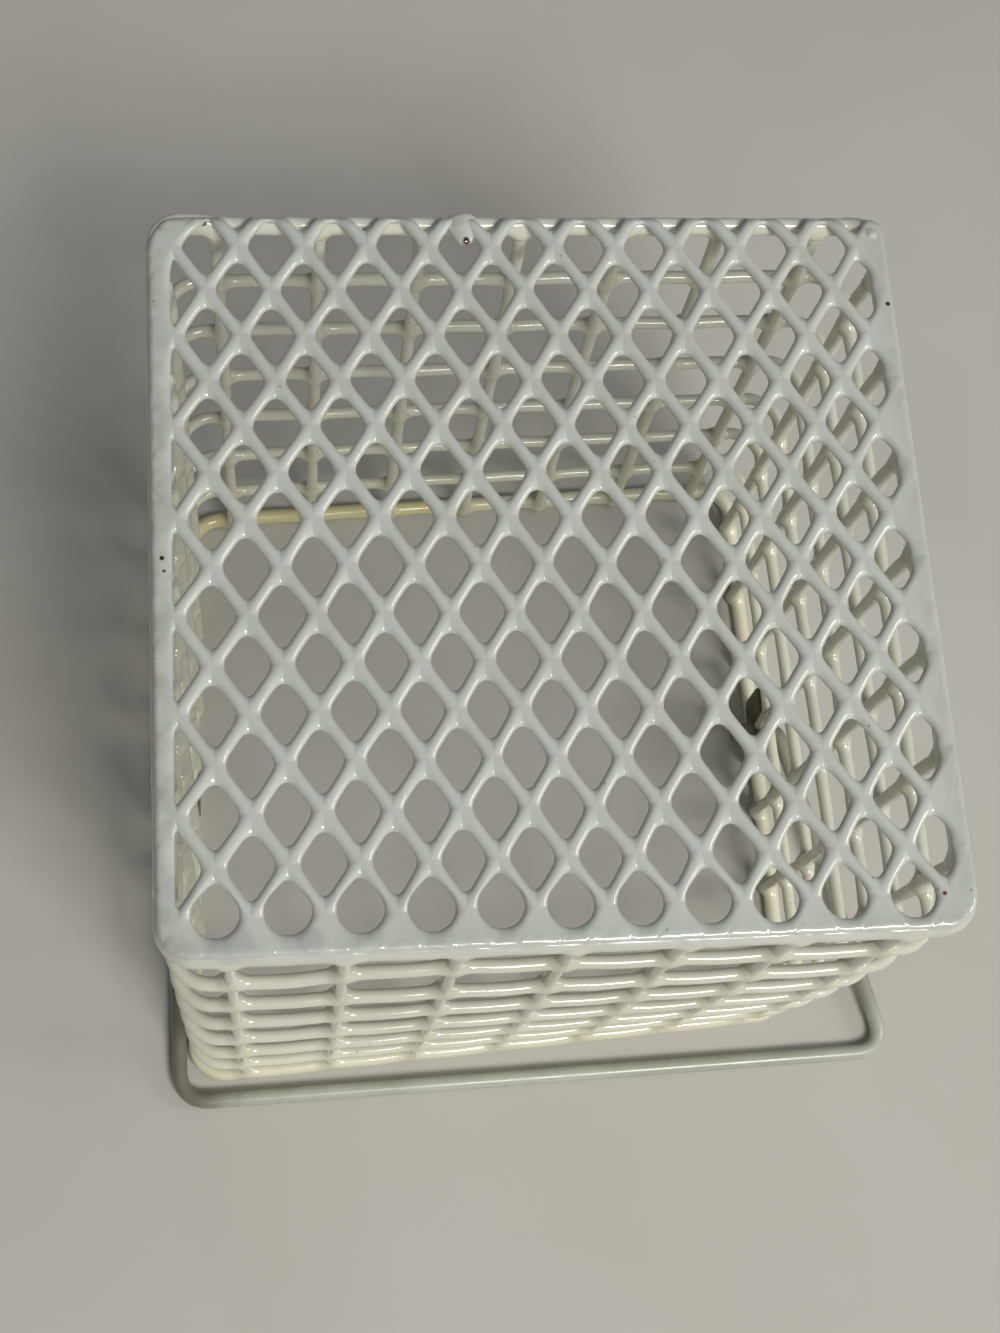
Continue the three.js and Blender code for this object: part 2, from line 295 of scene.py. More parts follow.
# Strength of the painted shade on the bail
PAINTED_SHADE_SHARE = 0.85
LOWER_SHARE = 0.85
PINHOLE_SCALE = 330
PINHOLES_KEPT = 0.1
PINHOLE_SHARE = 0.55
PINHOLE_EDGE = (0.13, 0.06)
MARK_SOFTNESS = 0.6
GLOSS_SCALE = 90
GLOSS_LESS = 0.05
GLOSS_MORE = 0.09
COAT_IOR = 1.55
COAT_MOST = 0.9
COAT_FALL = 3.3
COAT_ROUGHNESS = 0.05
PEEL_SCALE = 320
PEEL_STRENGTH = 0.1
PEEL_DEPTH = 0.0003
GRAIN_SCALE = 1500
GRAIN_STRENGTH = 0.025
GRAIN_DEPTH = 0.0001


def srgb(red, green, blue):
    """A colour given in 8-bit steps, as linear light."""
    steps = [red / 255, green / 255, blue / 255]
    light = [s / 12.92 if s <= 0.04045 else ((s + 0.055) / 1.055) ** 2.4 for s in steps]
    return (*light, 1.0)


class Nodes:
    """Short ways to add and join the nodes of one material."""

    def __init__(self, name):
        self.slot = name
        self.material = bpy.data.materials.new(f"{name}_dipped")
        self.material.use_nodes = True
        self.tree = self.material.node_tree
        self.shader = self.tree.nodes["Principled BSDF"]
        self.place = self.add("ShaderNodeTexCoord").outputs["Object"]

    def add(self, kind, **settings):
        node = self.tree.nodes.new(kind)
        for key, value in settings.items():
            setattr(node, key, value)
        return node

    def put(self, node, values):
        """Sets or links some inputs of a node."""
        for key, value in values.items():
            if isinstance(value, bpy.types.NodeSocket):
                self.tree.links.new(value, node.inputs[key])
            else:
                node.inputs[key].default_value = value

    def noise(self, scale, detail=3.0, roughness=0.55, distortion=0.0):
        node = self.add("ShaderNodeTexNoise")
        self.put(node, {"Vector": self.place, "Scale": scale, "Detail": detail})
        self.put(node, {"Roughness": roughness, "Distortion": distortion})
        return node.outputs["Fac"]

    def ramp(self, value, low, high, to_low=0.0, to_high=1.0):
        node = self.add("ShaderNodeMapRange", interpolation_type="SMOOTHSTEP")
        self.put(node, {"Value": value, "From Min": low, "From Max": high})
        self.put(node, {"To Min": to_low, "To Max": to_high})
        return node.outputs["Result"]

    def math(self, operation, first, second):
        node = self.add("ShaderNodeMath", operation=operation, use_clamp=True)
        self.put(node, {0: first, 1: second})
        return node.outputs["Value"]

    def mix(self, share, first, second):
        node = self.add("ShaderNodeMix", data_type="RGBA")
        self.put(node, {0: share, 6: first, 7: second})
        return node.outputs[2]

    def pinholes(self, scale, kept):
        """Small round dots in a share of the cells of a grid without order."""
        node = self.add("ShaderNodeTexVoronoi")
        self.put(node, {"Vector": self.place, "Scale": scale})
        split = self.add("ShaderNodeSeparateColor")
        self.put(split, {"Color": node.outputs["Color"]})
        chosen = self.math("LESS_THAN", split.outputs["Red"], kept)
        return self.math("MULTIPLY", self.ramp(node.outputs["Distance"], *PINHOLE_EDGE), chosen)

    def attribute(self, name):
        return self.add("ShaderNodeAttribute", attribute_name=name).outputs["Fac"]

    def height(self):
        split = self.add("ShaderNodeSeparateXYZ")
        self.put(split, {0: self.place})
        return split.outputs["Z"]

    def near(self, point, radius):
        """1 within the radius of a point of the cage, and 0 beyond."""
        distance = self.add("ShaderNodeVectorMath", operation="DISTANCE")
        self.put(distance, {0: self.place, 1: tuple(in_frame(np.array(point)))})
        return self.ramp(distance.outputs["Value"], radius * MM, radius * MM * MARK_SOFTNESS)

    def bump(self, height, strength, distance, normal=None):
        node = self.add("ShaderNodeBump")
        self.put(node, {"Height": height, "Strength": strength, "Distance": distance})
        if normal is not None:
            self.put(node, {"Normal": normal})
        return node.outputs["Normal"]


def coating(name, fresh, aged, grime_and_shade, roughness, ageing, specks=(), below=None):
    """Glossy dip coat: mottled between a fresh and an aged colour, darkened in the crevices with painted
    shade and grime, darkened on the bail with painted shade, softly uneven.
    """
    nodes = Nodes(name)
    blotches = nodes.ramp(nodes.noise(BLOTCH_SCALE, 4.0), 0.36, 0.68)
    streaks = nodes.ramp(nodes.noise(STREAK_SCALE, 3.0, distortion=0.6), 0.42, 0.72)
    age = nodes.math("MULTIPLY", blotches, ageing)
    age = nodes.math("ADD", age, nodes.math("MULTIPLY", streaks, ageing * STREAK_SHARE))
    colour = nodes.mix(age, fresh, aged)
    if below:
        low, high, lower_colour = below
        lower = nodes.ramp(nodes.height(), low * MM, high * MM, LOWER_SHARE, 0.0)
        colour = nodes.mix(lower, colour, lower_colour)
    # Crevice darkening: painted shade mixed with grime.
    crevice = nodes.attribute("crevice")
    shade_and_dirt = nodes.math("MULTIPLY", crevice, nodes.ramp(nodes.noise(SHADE_AND_DIRT_SCALE, 4.0), 0.3, 0.75, 0.15, 0.7))
    colour = nodes.mix(shade_and_dirt, colour, grime_and_shade)
    # Painted shade on the bail's arms and heads.
    colour = nodes.mix(nodes.math("MULTIPLY", nodes.attribute("painted_shade"), PAINTED_SHADE_SHARE), colour, grime_and_shade)
    dots = nodes.math("MULTIPLY", nodes.pinholes(PINHOLE_SCALE, PINHOLES_KEPT), PINHOLE_SHARE)
    colour = nodes.mix(dots, colour, DUST)
    for point, radius, speck_colour in specks:
        colour = nodes.mix(nodes.near(point, radius), colour, speck_colour)
    shine = nodes.noise(GLOSS_SCALE, 4.0)
    gloss = nodes.ramp(shine, 0.3, 0.75, roughness - GLOSS_LESS, roughness + GLOSS_MORE)
    gloss = nodes.math("ADD", gloss, nodes.math("MULTIPLY", shade_and_dirt, CREVICE_ROUGHNESS))
    peel = nodes.bump(nodes.noise(PEEL_SCALE, 2.0), PEEL_STRENGTH, PEEL_DEPTH)
    grain = nodes.bump(nodes.noise(GRAIN_SCALE, 3.0), GRAIN_STRENGTH, GRAIN_DEPTH, peel)
    clear_coat = max(0.0, COAT_MOST - COAT_FALL * roughness)
    nodes.put(nodes.shader, {"Base Color": colour, "Roughness": gloss, "IOR": COAT_IOR, "Normal": grain})
    nodes.put(nodes.shader, {"Coat Weight": clear_coat, "Coat Roughness": COAT_ROUGHNESS})
    return nodes


BLACK_SPECK = srgb(38, 34, 28)
RUST_SPECK = srgb(112, 70, 46)
# Crevice colour of the walls, border and rim: grime with painted shade.
GRIME_AND_SHADE = srgb(176, 169, 144)
DUST = srgb(128, 118, 98)
CREAM = srgb(230, 229, 215)
SMUDGE = srgb(186, 189, 186)
YELLOWED = srgb(227, 227, 205)
PANEL_MARKS = [
    ((-11.9, 68.1, PANEL_TOP), 1.9, RUST_SPECK),
    ((-12.1, 69.2, PANEL_TOP), 1.0, BLACK_SPECK),
    ((-65.0, 74.0, PANEL_TOP - 1.5), 1.0, BLACK_SPECK),
    ((-38.9, 71.6, PANEL_TOP), 0.9, RUST_SPECK),
    ((-73.5, 0.5, PANEL_TOP), 0.6, BLACK_SPECK),
    ((-73.1, -2.1, PANEL_TOP), 0.5, RUST_SPECK),
    ((74.1, 54.1, PANEL_TOP), 0.6, BLACK_SPECK),
    ((69.6, -25.2, PANEL_TOP), 0.5, BLACK_SPECK),
    ((68.6, -69.2, PANEL_TOP), 0.5, RUST_SPECK),
    ((-62.5, -72.6, PANEL_TOP), 5.0, SMUDGE),
    ((-71.0, -63.0, PANEL_TOP), 3.6, SMUDGE),
    ((-48.0, -73.2, PANEL_TOP), 3.0, SMUDGE),
]
RIM_STAIN = srgb(226, 220, 168)
RIM_MARKS = [
    ((-62.0, 71.0, RIM_HEIGHT), 34.0, RIM_STAIN),
    ((-22.0, 73.0, RIM_HEIGHT), 34.0, RIM_STAIN),
]
# Crevice colours of the panel, plates and bail: grime with painted shade; the bail's also paints the shade
# on its arms and heads.
PANEL_GRIME_AND_SHADE = srgb(164, 168, 157)
PLATE_GRIME_AND_SHADE = srgb(74, 64, 42)
BAIL_GRIME_AND_SHADE = srgb(108, 105, 90)
panel_coat = coating("panel_coating", srgb(205, 210, 204), srgb(196, 200, 192), PANEL_GRIME_AND_SHADE,
                     roughness=0.12, ageing=0.6, specks=PANEL_MARKS)
border_coat = coating("border_coating", srgb(205, 209, 202), srgb(196, 197, 187), GRIME_AND_SHADE,
                      roughness=0.13, ageing=0.7, specks=PANEL_MARKS, below=(143.2, 145.4, CREAM))
wall_coat = coating("wall_coating", srgb(216, 217, 204), srgb(207, 206, 190), GRIME_AND_SHADE,
                    roughness=0.13, ageing=0.8, below=(5.0, 80.0, YELLOWED))
rim_coat = coating("rim_coating", srgb(235, 234, 212), srgb(228, 225, 196), GRIME_AND_SHADE,
                   roughness=0.15, ageing=0.9, specks=RIM_MARKS)
# The plates' dark olive-brown coat is painted shade as well as soiling.
plate_coat = coating("plate_coating", srgb(96, 87, 62), srgb(78, 69, 47), PLATE_GRIME_AND_SHADE,
                     roughness=0.35, ageing=0.9)
bail_coat = coating("bail_coating", srgb(190, 193, 181), srgb(170, 172, 159), BAIL_GRIME_AND_SHADE,
                    roughness=0.27, ageing=0.8)


# Meshes

def add_piece(name, vertices, faces, coat, body, crevice=None, node=None, painted_shade=None):
    """One smooth piece of the object, from vertices in the cage's frame."""
    mesh = bpy.data.meshes.new(name)
    mesh.from_pydata(in_frame(vertices.reshape(-1, 3)).tolist(), [], faces)
    mesh.update()
    mesh.shade_smooth()
    for attribute, given in (("crevice", crevice), ("painted_shade", painted_shade)):
        values = np.zeros(len(mesh.vertices)) if given is None else given.reshape(-1)
        data = mesh.attributes.new(attribute, "FLOAT", "POINT").data
        data.foreach_set("value", values.astype(np.float32))
    mesh.materials.append(coat.material)
    piece = bpy.data.objects.new(name, mesh)
    bpy.context.collection.objects.link(piece)
    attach(piece, body)
    if node:
        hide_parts(node)


def tube_faces(count, sides, closed):
    """Quads of a tube with a ring of vertices at each point of its path, and flat ends if it is open."""
    faces = []
    for i in range(count if closed else count - 1):
        here = i * sides
        there = ((i + 1) % count) * sides
        for k in range(sides):
            turn = (k + 1) % sides
            faces.append((here + k, there + k, there + turn, here + turn))
    if not closed:
        end = (count - 1) * sides
        faces.append(tuple(range(sides)))
        faces.append(tuple(range(end + sides - 1, end - 1, -1)))
    return faces


def spokes(across, upward, sides):
    """Unit vectors round each point of a path, from the two directions across it."""
    angles = np.arange(sides) * 2 * math.pi / sides
    cosine = np.cos(angles)[None, :, None]
    sine = np.sin(angles)[None, :, None]
    return cosine * across[:, None, :] + sine * upward[:, None, :]


def clearance_to(lines, points):
    """Distance from points to the nearest of some straight wires, each a point, a direction and a radius."""
    nearest = np.full(points.shape[:-1], 1000.0)
    for start, direction, radius in lines:
        offset = points - start
        along = offset @ direction
        away = np.linalg.norm(offset - along[..., None] * direction, axis=-1) - radius
        nearest = np.minimum(nearest, away)
    return nearest


def flow(vertices, outward, lines, allowed=1.0):
    """Lets the coating fill the corners at crossings. Gives the moved vertices and how deep they lie."""
    push = np.zeros(vertices.shape[:-1])
    for _ in range(FILLET_PASSES):
        other = clearance_to(lines, vertices + push[..., None] * outward)
        share = np.clip(0.5 + 0.5 * (other - push) / FILLET_SIZE, 0.0, 1.0)
        surface = other + (push - other) * share - FILLET_SIZE * share * (1.0 - share)
        push = np.clip(push - FILLET_GAIN * surface, 0.0, FILLET_MOST)
    # Crevice value: painted shade with grime, strongest where the coating meets the crossing wire.
    crevice = allowed * np.exp(-np.maximum(other, 0.0) / CREVICE_DEPTH)
    return vertices + (allowed * push)[..., None] * outward, crevice


def stations(start, end, crossings):
    """Places along a straight run, close together near each crossing."""
    places = [np.linspace(start, end, max(2, int((end - start) / COARSE_STEP)))]
    for crossing in crossings:
        fine = np.arange(-NEAR_CROSSING, NEAR_CROSSING + FINE_STEP / 2, FINE_STEP)
        places = [p[np.abs(p - crossing) > NEAR_CROSSING + FINE_STEP] for p in places]
        places.append(crossing + fine)
    run = np.sort(np.concatenate(places))
    return run[(run > start) & (run < end)]


# Rings: the border, the hoops and the mouth rim

def ring_path(wire_radius, height, front_step, inside_corner):
    """Middle line of a ring, and the outward and upward directions at each of its points."""
    half_x = INSIDE_WIDTH / 2 + wire_radius
    half_y = (INSIDE_DEPTH + front_step) / 2 + wire_radius
    corner = inside_corner + wire_radius
    crossings = [k * WALL_WIRE_PITCH for k in WALL_STEPS]
    across = stations(-half_x + corner, half_x - corner, crossings)
    along = stations(-half_y + corner, half_y - corner, crossings)
    turn = np.linspace(0.0, math.pi / 2, CORNER_STEPS)
    points = []

    def add_corner(x, y, first_angle):
        angles = first_angle + turn
        points.append(np.stack([x + corner * np.cos(angles), y + corner * np.sin(angles)], axis=1))

    points.append(np.stack([across, np.full_like(across, -half_y)], axis=1))
    add_corner(half_x - corner, -half_y + corner, -math.pi / 2)
    points.append(np.stack([np.full_like(along, half_x), along], axis=1))
    add_corner(half_x - corner, half_y - corner, 0.0)
    points.append(np.stack([across[::-1], np.full_like(across, half_y)], axis=1))
    add_corner(-half_x + corner, half_y - corner, math.pi / 2)
    points.append(np.stack([np.full_like(along, -half_x), along[::-1]], axis=1))
    add_corner(-half_x + corner, -half_y + corner, math.pi)
    flat = np.concatenate(points)
    flat[:, 0] += edge_shift(flat[:, 0], flat[:, 1]) * (height == BORDER_HEIGHT)
    flat[:, 1] -= front_step / 2
    flat[:, 1] += pushed_back(flat[:, 0], flat[:, 1], height)
    path = np.column_stack([flat, np.full(len(flat), height)])
    tangent = unit(np.roll(path, -1, axis=0) - np.roll(path, 1, axis=0))
    upward = np.tile([0.0, 0.0, 1.0], (len(path), 1))
    return path, np.cross(tangent, upward), upward


OUTWARD = {"front": (0.0, -1.0), "back": (0.0, 1.0), "left": (-1.0, 0.0), "right": (1.0, 0.0)}


def wall_wires():
    """Name, side, place across or along its wall, and lower and upper height of each wall wire."""
    wires = []
    for number, k in enumerate(WALL_STEPS, start=1):
        for side in OUTWARD:
            name = f"{side}_wire_{number}"
            low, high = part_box(name)
            wires.append((name, side, k * WALL_WIRE_PITCH, low[2] / MM, high[2] / MM + HEAD_RISE))
    return wires


WIRES = wall_wires()


def wall_place(side, place, depth, step):
    """A point of a wall on plan, from its place along the wall and its depth outside the inner faces."""
    if side in ("front", "back"):
        reach = INSIDE_DEPTH / 2 + depth + (step if side == "front" else 0.0)
        return place, math.copysign(reach, OUTWARD[side][1])
    return math.copysign(INSIDE_WIDTH / 2 + depth, OUTWARD[side][0]), place


def wire_path(side, place, high, heights):
    """Middle line of a wall wire. It is sunk into the rings, and its head bends in under the border."""
    x, y = wall_place(side, place, WELD_SINK - WELD_GAP - WALL_WIRE_RADIUS, FRONT_STEP)
    head = HEAD_BEND * smooth_step(high - HEAD_BEND_START, high - HEAD_BEND_END, heights)
    out_x, out_y = OUTWARD[side]
    return np.stack([x + out_x * head, y + out_y * head + pushed_back(x, y, heights), heights], axis=-1)


def wire_lines(height):
    """The wall wires that reach a height, as lines for the coating to flow to."""
    lines = []
    heights = height + np.array([-WIRE_LINE_REACH, 0.0, WIRE_LINE_REACH])
    for _, side, place, low, high in WIRES:
        if low < height + HOOP_RADIUS:
            lower, middle, upper = wire_path(side, place, high, heights)
            lines.append((middle, unit(upper - lower), WALL_WIRE_RADIUS))
            outer = middle + OUTER_COAT * np.array([*OUTWARD[side], 0.0])
            lines.append((outer, unit(upper - lower), WALL_WIRE_RADIUS))
    return lines


def make_ring(node, wire_radius, coat):
    height = height_of(node)
    path, outward, upward = ring_path(wire_radius, height, FRONT_STEP, HOOP_CORNER_RADIUS)
    bulge = HOOP_SCALLOP * np.sin(math.pi * path[:, :2] / WALL_WIRE_PITCH) ** 2
    path = path + (bulge * outward[:, 1::-1] ** 2).sum(axis=1, keepdims=True) * outward
    bow = top_hoop_bow(node, path[:, 0], path[:, 1])
    path = path + bow[:, None] * np.array([0.0, TOP_HOOP_DENT, TOP_HOOP_RISE])
    directions = spokes(outward, upward, RING_SIDES)
    vertices = path[:, None, :] + wire_radius * directions
    above_floor = smooth_step(*FLOOR_RAMP, vertices[..., 2])
    vertices, crevice = flow(vertices, directions, wire_lines(height), above_floor)
    vertices = vertices + (COAT_WAVES * waves(vertices))[..., None] * directions
    faces = tube_faces(len(path), RING_SIDES, True)
    add_piece(f"{node}_coated", vertices, faces, coat, "basket", crevice, node)


def make_border():
    """The border wire: under the panel's edge its coating rises to the panel, at the back it stays round."""
    node = "base_border_wire"
    path, outward, upward = ring_path(BORDER_RADIUS, BORDER_HEIGHT, 0.0, CORNER_RADIUS)
    across, along = path[:, 0], path[:, 1]
    back = smooth_step(INSIDE_DEPTH / 2 - BORDER_ROUND_START, INSIDE_DEPTH / 2 + BORDER_ROUND_END, along)
    back = back * smooth_step(*BORDER_ROUND_LEFT, across) * smooth_step(*BORDER_ROUND_RIGHT, across)
    under = BORDER_HEIGHT - BORDER_RADIUS - BORDER_SAG
    panel_side = PANEL_TOP - BORDER_BELOW_PANEL
    back_side = BORDER_HEIGHT + BORDER_RADIUS + BORDER_BACK_RISE
    top = panel_side * (1.0 - back) + back_side * back
    middle = (top + under) / 2
    half = (top - under) / 2
    power = 2.0 / (BORDER_SQUARENESS - BORDER_EASING * back)
    angles = np.arange(RING_SIDES) * 2 * math.pi / RING_SIDES
    cosine = np.sign(np.cos(angles)) * np.abs(np.cos(angles))[None, :] ** power[:, None]
    sine = np.sign(np.sin(angles)) * np.abs(np.sin(angles))[None, :] ** power[:, None]
    vertices = path[:, None, :] + (BORDER_RADIUS * cosine)[..., None] * outward[:, None, :]
    vertices[..., 2] = middle[:, None] + half[:, None] * sine
    directions = spokes(outward, upward, RING_SIDES)
    lowest = BORDER_HEIGHT - BORDER_FLOW_LOW
    highest = BORDER_HEIGHT + BORDER_FLOW_HIGH
    underneath = 1.0 - smooth_step(lowest, highest, vertices[..., 2])
    vertices, crevice = flow(vertices, directions, wire_lines(BORDER_HEIGHT), underneath)
    uneven = BORDER_UNEVEN * COAT_WAVES * waves(BORDER_WAVE_SCALE * vertices)
    vertices = vertices + uneven[..., None] * directions
    faces = tube_faces(len(path), RING_SIDES, True)
    add_piece(f"{node}_coated", vertices, faces, border_coat, "basket", crevice, node)


make_border()
for hoop in HOOP_NAMES:
    make_ring(hoop, HOOP_RADIUS, wall_coat)
make_ring("mouth_rim", RIM_RADIUS, rim_coat)


# Wall wires

def ring_lines(side, place):
    """The rings at a wall wire, as straight lines past it."""
    lines = []
    for node, radius in RINGS:
        height = height_of(node)
        step = 0.0 if node == "base_border_wire" else FRONT_STEP
        ends = []
        for beside in (place - RING_LINE_REACH, place + RING_LINE_REACH):
            x, y = wall_place(side, beside, radius, step)
            bow = top_hoop_bow(node, x, y)
            deep = y + pushed_back(x, y, height) + bow * TOP_HOOP_DENT
            ends.append(np.array([x, deep, height + bow * TOP_HOOP_RISE]))
        lines.append((ends[0], unit(ends[1] - ends[0]), radius))
    return lines


END_ROUNDING = [(0.0, 0.05), (0.12, 0.5), (0.4, 0.8), (0.9, 1.0)]


def make_wall_wire(name, side, place, low, high):
    """One wall wire with rounded ends, and more coating on its outer side."""
    lines = ring_lines(side, place)
    run = stations(low + WIRE_END_LENGTH, high - WIRE_END_LENGTH, [start[2] for start, _, _ in lines])
    starts = np.array([start for start, _ in END_ROUNDING])
    shares = np.array([share for _, share in END_ROUNDING])
    heights = np.concatenate([low + starts, run, high - starts[::-1]])
    radii = WALL_WIRE_RADIUS * np.concatenate([shares, np.ones(len(run)), shares[::-1]])
    path = wire_path(side, place, high, heights)
    tangent = unit(np.gradient(path, heights, axis=0))
    out = np.array([*OUTWARD[side], 0.0])
    across = unit(np.cross(tangent, out))
    directions = spokes(across, np.cross(across, tangent), WIRE_SIDES)
    vertices = path[:, None, :] + radii[:, None, None] * directions
    above = smooth_step(0.0, OUTER_COAT_RAMP, heights - low)
    below = smooth_step(0.0, OUTER_COAT_RAMP, high - heights)
    pooled = OUTER_COAT * above * below
    vertices = vertices + (pooled[:, None] * np.maximum(directions @ out, 0.0))[..., None] * out
    flowed, crevice = flow(vertices, directions, lines)
    full = (radii > 0.99 * WALL_WIRE_RADIUS)[:, None, None]
    vertices = np.where(full, flowed, vertices)
    vertices = vertices + (COAT_WAVES * waves(vertices))[..., None] * directions
    faces = tube_faces(len(path), WIRE_SIDES, False)
    add_piece(f"{name}_coated", vertices, faces, wall_coat, "basket", crevice, name)


for wire in WIRES:
    make_wall_wire(*wire)


# Base panel: each cell of the lattice is a ring of strand round its opening

def rounded(corners, steps=7):
    """Outline of corners (x, y, radius) with each corner cut round."""
    outline = []
    count = len(corners)
    for i in range(count):
        here = corners[i, :2]
        before = corners[i - 1, :2] - here
        after = corners[(i + 1) % count, :2] - here
        room = 0.48 * min(np.linalg.norm(before), np.linalg.norm(after))
        before = unit(before)
        after = unit(after)
        half = 0.5 * math.acos(float(np.clip(before @ after, -1.0, 1.0)))
        cut = min(corners[i, 2] / math.tan(half), room)
        radius = cut * math.tan(half)
        if cut < 1e-3:
            outline.append(here[None])
            continue
        centre = here + unit(before + after) * math.hypot(cut, radius)
        first = here + before * cut - centre
        last = here + after * cut - centre
        begin = math.atan2(first[1], first[0])
        sweep = math.atan2(crossed(first, last), first @ last)
        angles = begin + sweep * np.linspace(0.0, 1.0, steps)
        outline.append(centre + radius * np.stack([np.cos(angles), np.sin(angles)], axis=1))
    return np.concatenate(outline)


def clipped(corners, outline, radius):
    """The part of a convex shape of corners (x, y, radius) inside a convex anticlockwise outline."""
    for start, end in zip(outline, np.roll(outline, -1, axis=0)):
        inward = np.array([start[1] - end[1], end[0] - start[0]])
        depth = (corners[:, :2] - start) @ inward
        kept = []
        for i in range(len(corners)):
            j = (i + 1) % len(corners)
            if depth[i] >= 0:
                kept.append(corners[i])
            if (depth[i] >= 0) != (depth[j] >= 0):
                share = depth[i] / (depth[i] - depth[j])
                cut = corners[i] + share * (corners[j] - corners[i])
                kept.append(np.array([cut[0], cut[1], radius]))
        if len(kept) < 3:
            return None
        corners = np.array(kept)
    return corners


def area_of(corners):
    x, y = corners[:, 0], corners[:, 1]
    return 0.5 * abs(x @ np.roll(y, -1) - y @ np.roll(x, -1))


def rounded_window(half_x, front, back, radii):
    """Outline of a window with its own radius at the front right, back right, back left and front left."""
    places = np.array([[half_x, front], [half_x, back], [-half_x, back], [-half_x, front]])
    return rounded(np.column_stack([places, radii]), 13)


def lattice(step, row):
    """A crossing of the strands, in half steps across and rows along. The net is drawn a little askew."""
    x = MESH_OFFSET_X + step * CELL_X
    y = MESH_OFFSET_Y + row * CELL_Y + FRONT_SQUEEZE * max(0, -row - 2)
    drawn = math.sin((x + MESH_DRAW_SHIFT) / MESH_DRAW_LENGTH)
    free_of_back = 1.0 - MESH_BACK_HELD * smooth_step(*MESH_BACK_RAMP, y)
    free_of_front = 1.0 - MESH_FRONT_HELD * smooth_step(*MESH_FRONT_RAMP, y)
    inner = free_of_back * free_of_front
    back_draw = MESH_BACK_DRAW * smooth_step(*MESH_BACK_DRAW_RAMP, y)
    shift_x = inner * (MESH_DRIFT_X + MESH_DRAW_X * drawn)
    shift_y = inner * (MESH_DRIFT_Y + MESH_DRAW_Y * drawn) + back_draw
    x += shift_x + MESH_UNEVEN * math.sin(2.3 * step + 1.7 * row)
    y += shift_y + MESH_UNEVEN * math.sin(1.9 * step - 2.9 * row + 0.8)
    return np.array([x, y])


def edge_samples(corners):
    """Points round a cell, the same from either side of an edge that two cells share."""
    points = []
    for start, end in zip(corners[:, :2], np.roll(corners[:, :2], -1, axis=0)):
        count = max(2, math.ceil(np.linalg.norm(end - start) * EDGE_SAMPLES_PER_MM - 1e-3))
        share = 0.5 - 0.5 * np.cos(np.linspace(0.0, math.pi, count + 1)[:-1])
        points.append(start + share[:, None] * (end - start))
    return np.concatenate(points)


def reach_along(outline, centre, directions):
    """How far an outline is from a point inside it, along each direction."""
    start = (outline - centre)[None]
    edge = (np.roll(outline, -1, axis=0) - outline)[None]
    rays = directions[:, None]
    cross = crossed(rays, edge)
    cross = np.where(np.abs(cross) < 1e-12, 1e-12, cross)
    far = crossed(start, edge) / cross
    part = crossed(start, rays) / cross
    good = (far > 0) & (part >= -1e-6) & (part <= 1 + 1e-6)
    return np.where(good, far, np.inf).min(axis=1)


class PanelMesh:
    """Collects the faces of the cells, with one vertex where cells meet."""

    def __init__(self):
        self.index = {}
        self.vertices = []
        self.crevice = []
        self.faces = []

    def ring(self, spots, heights, crevice):
        """The vertices of one ring of a cell. Each carries a crevice value: grime near the panel's edges,
        and the painted shade given for the strand's sides.
        """
        most = np.where(spots[:, 0] < LEFT_EDGE, LEFT_EDGE_DIRT, EDGE_DIRT)
        edge = most * (1.0 - smooth_step(*EDGE_DIRT_RAMP, from_edge(spots[:, 0], spots[:, 1])))
        found = []
        for (x, y), z, darkened in zip(spots, heights, np.maximum(edge, crevice)):
            key = tuple(round(value * VERTEX_STEPS_PER_MM) for value in (x, y, z))
            if key not in self.index:
                self.index[key] = len(self.vertices)
                self.vertices.append((x, y, z))
                self.crevice.append(darkened)
            found.append(self.index[key])
        return found

    def face(self, *corners):
        """A face, unless fewer than three of its corners differ."""
        distinct = list(dict.fromkeys(corners))
        if len(distinct) > 2:
            self.faces.append(distinct)


BORDER_X = INSIDE_WIDTH / 2 + BORDER_RADIUS
BORDER_Y = INSIDE_DEPTH / 2 + BORDER_RADIUS
EDGE_X = BORDER_X + BORDER_RADIUS - SIDE_INSET
EDGE_Y = BORDER_Y + BORDER_RADIUS - FRONT_INSET
EDGE_CORNER = CORNER_RADIUS + 2 * BORDER_RADIUS - FRONT_INSET
BACK_END = BORDER_Y + BACK_OVERLAP
OUTLINE_CORNERS = [EDGE_CORNER, BACK_RIGHT_CORNER, BACK_LEFT_CORNER, EDGE_CORNER]
OUTLINE = rounded_window(EDGE_X, -EDGE_Y, BACK_END, OUTLINE_CORNERS)
OUTLINE[:, 0] += edge_shift(OUTLINE[:, 0], OUTLINE[:, 1])
WINDOW_CORNERS = [WINDOW_CORNER, WINDOW_CORNER, WINDOW_BACK_LEFT_CORNER, WINDOW_CORNER]
WINDOW = rounded_window(BORDER_X - BAND_WIDTH, -BORDER_Y + FRONT_BAND_WIDTH, BACK_END, WINDOW_CORNERS)


def from_edge(x, y):
    """How far a point of the panel is from its outline, the straight edge at the back left out."""
    nearest = np.full(np.shape(x), 1000.0)
    for start, end in zip(OUTLINE, np.roll(OUTLINE, -1, axis=0)):
        if min(start[1], end[1]) < BACK_END - 0.01:
            inward = unit(np.array([start[1] - end[1], end[0] - start[0]]))
            nearest = np.minimum(nearest, (x - start[0]) * inward[0] + (y - start[1]) * inward[1])
    return np.maximum(nearest, 0.0)


